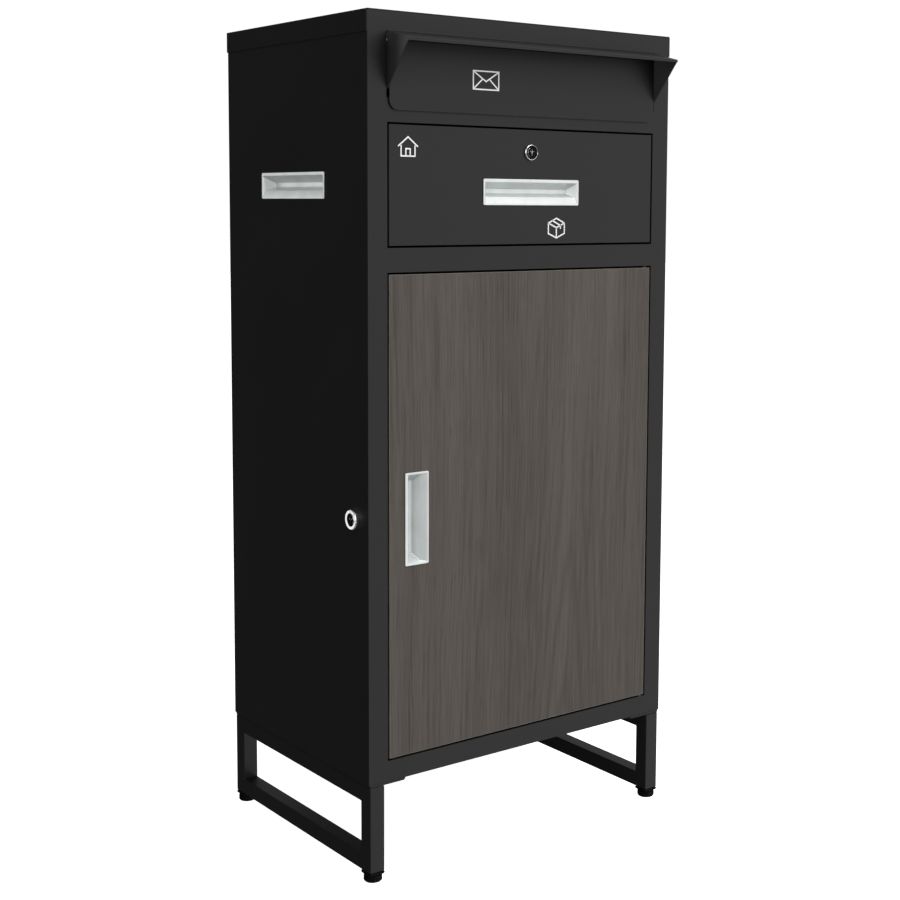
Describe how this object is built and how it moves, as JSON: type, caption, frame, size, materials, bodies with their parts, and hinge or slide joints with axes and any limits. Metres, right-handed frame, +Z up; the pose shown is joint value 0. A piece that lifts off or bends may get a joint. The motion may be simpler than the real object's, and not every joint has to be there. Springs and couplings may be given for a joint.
{
  "type": "parcel drop box",
  "caption": "Free-standing steel parcel and letter box on loop legs, with a hooded letter flap, a locking letter drawer and a side-locked wood-grain parcel door.",
  "frame": {"origin": "on the floor, at the middle of the whole footprint, which the hood and the side lock widen", "axes": "+Z up, -Y out of the front with the door, +X to the right seen from the front"},
  "size_m": [0.4624, 0.3702, 1],
  "materials": {
    "powder_coat": "charcoal powder coat with a fine orange-peel texture, semi-matt",
    "woodgrain": "grey-brown wood-grain film on the door leaf, vertical grain, satin",
    "satin_metal": "pressed cup handles, satin silver",
    "chrome": "cam lock barrels and plugs, polished chrome",
    "zinc_steel": "zinc-plated slides, cams, nuts, pins and inner sheets",
    "black_plastic": "moulded black tube caps and levelling feet",
    "nylon": "white nylon pivot washer"
  },
  "bodies": {
    "cabinet": {"front_frame": "powder_coat", "top_cap": "powder_coat", "left_side_panel": "powder_coat", "right_side_panel": "powder_coat", "back_panel": "powder_coat", "floor_panel": "powder_coat", "divider_shelf": "powder_coat", "mail_hood": "powder_coat", "letter_ramp": "powder_coat", "left_leg_loop": "powder_coat", "right_leg_loop": "powder_coat", "left_mount_plate": "powder_coat", "right_mount_plate": "powder_coat", "left_carry_cup": "satin_metal", "right_carry_cup": "satin_metal", "side_lock_barrel": "chrome", "side_lock_nut": "zinc_steel", "mail_flap_pin": "zinc_steel", "door_washer": "nylon", "left_slide_spacer": "zinc_steel", "left_slide_outer": "zinc_steel", "right_slide_spacer": "zinc_steel", "right_slide_outer": "zinc_steel", "front_left_tube_cap": "black_plastic", "front_right_tube_cap": "black_plastic", "back_left_tube_cap": "black_plastic", "back_right_tube_cap": "black_plastic"},
    "mail_flap": {"mail_flap": "powder_coat"},
    "drawer": {"drawer_front": "powder_coat", "drawer_tray": "zinc_steel", "drawer_cup": "satin_metal", "drawer_lock_barrel": "chrome", "drawer_lock_nut": "zinc_steel", "left_slide_inner": "zinc_steel", "right_slide_inner": "zinc_steel"},
    "left_slide_middle": {"left_slide_middle": "zinc_steel"},
    "right_slide_middle": {"right_slide_middle": "zinc_steel"},
    "drawer_lock": {"drawer_lock_plug": "chrome", "drawer_lock_cam": "zinc_steel", "drawer_lock_cam_screw": "zinc_steel"},
    "parcel_door": {"door_leaf": "woodgrain", "door_back": "zinc_steel", "door_cup": "satin_metal", "door_strike": "zinc_steel", "door_pin_top": "zinc_steel", "door_pin_bottom": "zinc_steel"},
    "side_lock": {"side_lock_plug": "chrome", "side_lock_cam": "zinc_steel", "side_lock_cam_screw": "zinc_steel"},
    "front_left_foot": {"front_left_foot": "black_plastic"},
    "front_right_foot": {"front_right_foot": "black_plastic"},
    "back_left_foot": {"back_left_foot": "black_plastic"},
    "back_right_foot": {"back_right_foot": "black_plastic"}
  },
  "joints": [
    {"name": "mail_flap_hinge", "type": "hinge", "parent": "cabinet", "child": "mail_flap", "pos_m": [0.00185, -0.14115, 0.967], "axis": [-1, 0, 0], "range_deg": [0, 65]},
    {"name": "drawer_slide", "type": "slide", "parent": "cabinet", "child": "drawer", "axis": [0, -1, 0], "range_m": [0, 0.2]},
    {"name": "left_slide_travel", "type": "slide", "parent": "cabinet", "child": "left_slide_middle", "axis": [0, -1, 0], "range_m": [0, 0.1]},
    {"name": "right_slide_travel", "type": "slide", "parent": "cabinet", "child": "right_slide_middle", "axis": [0, -1, 0], "range_m": [0, 0.1]},
    {"name": "drawer_lock_turn", "type": "hinge", "parent": "drawer", "child": "drawer_lock", "pos_m": [0.00485, -0.14215, 0.848], "axis": [0, -1, 0], "range_deg": [0, 90]},
    {"name": "parcel_door_hinge", "type": "hinge", "parent": "cabinet", "child": "parcel_door", "pos_m": [0.19635, -0.13715, 0.425], "axis": [0, 0, 1], "range_deg": [0, 105]},
    {"name": "side_lock_turn", "type": "hinge", "parent": "cabinet", "child": "side_lock", "pos_m": [-0.22615, -0.11115, 0.425], "axis": [-1, 0, 0], "range_deg": [0, 90]},
    {"name": "front_left_foot_screw", "type": "slide", "parent": "cabinet", "child": "front_left_foot", "axis": [0, 0, 1], "range_m": [-0.01, 0]},
    {"name": "front_right_foot_screw", "type": "slide", "parent": "cabinet", "child": "front_right_foot", "axis": [0, 0, 1], "range_m": [-0.01, 0]},
    {"name": "back_left_foot_screw", "type": "slide", "parent": "cabinet", "child": "back_left_foot", "axis": [0, 0, 1], "range_m": [-0.01, 0]},
    {"name": "back_right_foot_screw", "type": "slide", "parent": "cabinet", "child": "back_right_foot", "axis": [0, 0, 1], "range_m": [-0.01, 0]}
  ],
  "couplings": [
    {"joint": "left_slide_travel", "follows": "drawer_slide", "ratio": 0.5},
    {"joint": "right_slide_travel", "follows": "drawer_slide", "ratio": 0.5}
  ]
}
